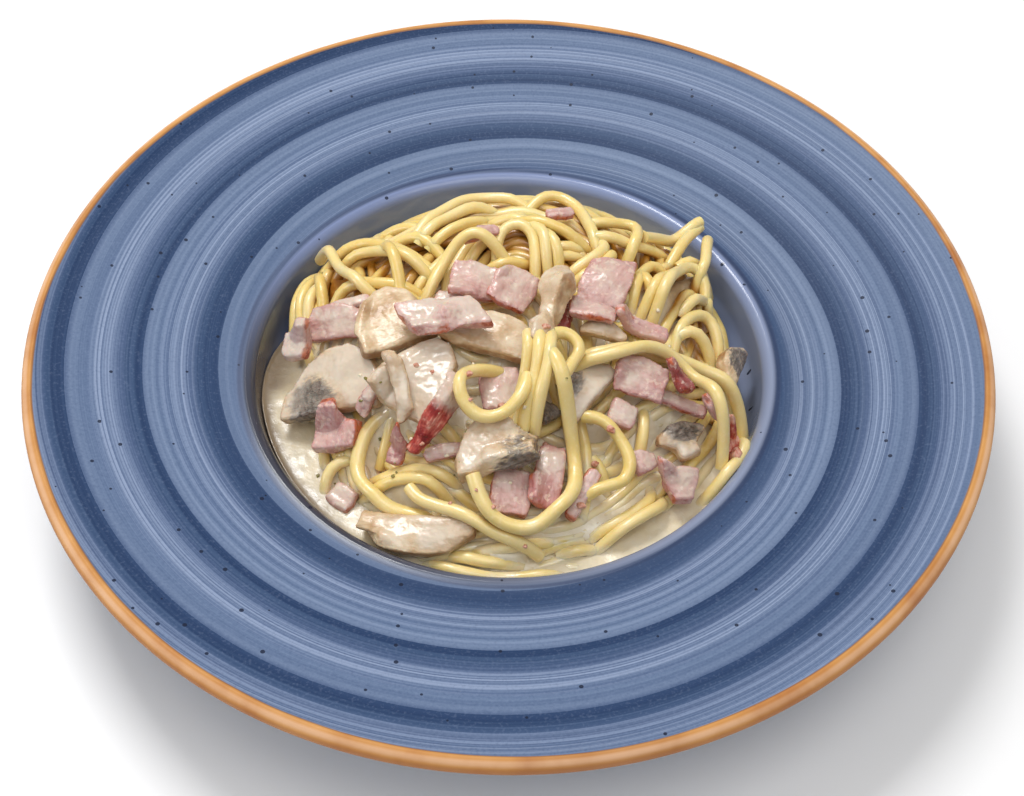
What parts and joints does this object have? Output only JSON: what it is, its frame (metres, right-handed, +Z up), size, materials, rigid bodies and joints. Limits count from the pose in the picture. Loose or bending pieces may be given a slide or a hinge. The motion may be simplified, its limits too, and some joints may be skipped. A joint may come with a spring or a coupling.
{
  "type": "spaghetti carbonara on a plate",
  "caption": "Heap of cream-coated spaghetti with ham, bacon and mushroom slices in the deep well of a wide-rimmed, brush-banded blue stoneware pasta plate.",
  "frame": {"origin": "middle of the plate's base, on the surface that its foot ring stands on", "axes": "+Z up along the plate's axis; +Y points to the far side of the plate as the diner sees it, +X to the diner's right"},
  "size_m": [0.27, 0.27, 0.0623],
  "materials": {
    "blue_glaze": "satin blue glaze brushed on in a spiral band, bare terracotta lip",
    "spaghetti": "cooked pasta, wet with cream",
    "cream": "thick cream sauce, glossy",
    "ham": "cooked ham, browned at its edges",
    "bacon": "fried bacon, glossy",
    "mushroom": "cooked mushroom, coated with cream"
  },
  "bodies": {
    "root": {"bacon_red": "bacon", "bacon_rind": "bacon", "cream_sauce": "cream", "ham_back_left": "ham", "ham_back_right": "ham", "ham_centre_slab": "ham", "ham_dark_fold": "ham", "ham_edge_strip": "ham", "ham_far_right": "ham", "ham_front_pale": "ham", "ham_front_pink": "ham", "ham_grey_back": "ham", "ham_left_block": "ham", "ham_left_cube": "ham", "ham_left_fold": "ham", "ham_left_sliver": "ham", "ham_left_strip": "ham", "ham_pink_fold": "ham", "ham_red_fold": "ham", "ham_right_bits": "ham", "ham_right_grey": "ham", "ham_right_large": "ham", "ham_right_square": "ham", "ham_right_top": "ham", "ham_right_triangle": "ham", "ham_right_wedge": "ham", "ham_ring": "ham", "ham_sauce": "ham", "ham_small_left": "ham", "ham_top_left": "ham", "ham_top_right": "ham", "ham_under_front": "ham", "mushroom_back_left": "mushroom", "mushroom_centre_right": "mushroom", "mushroom_coated": "mushroom", "mushroom_dark": "mushroom", "mushroom_far_right": "mushroom", "mushroom_front": "mushroom", "mushroom_left": "mushroom", "mushroom_long": "mushroom", "mushroom_right": "mushroom", "mushroom_right_inner": "mushroom", "mushroom_sauce": "mushroom", "mushroom_slim": "mushroom", "mushroom_stem": "mushroom", "noodle_heap": "spaghetti", "plate": "blue_glaze"}
  },
  "joints": []
}
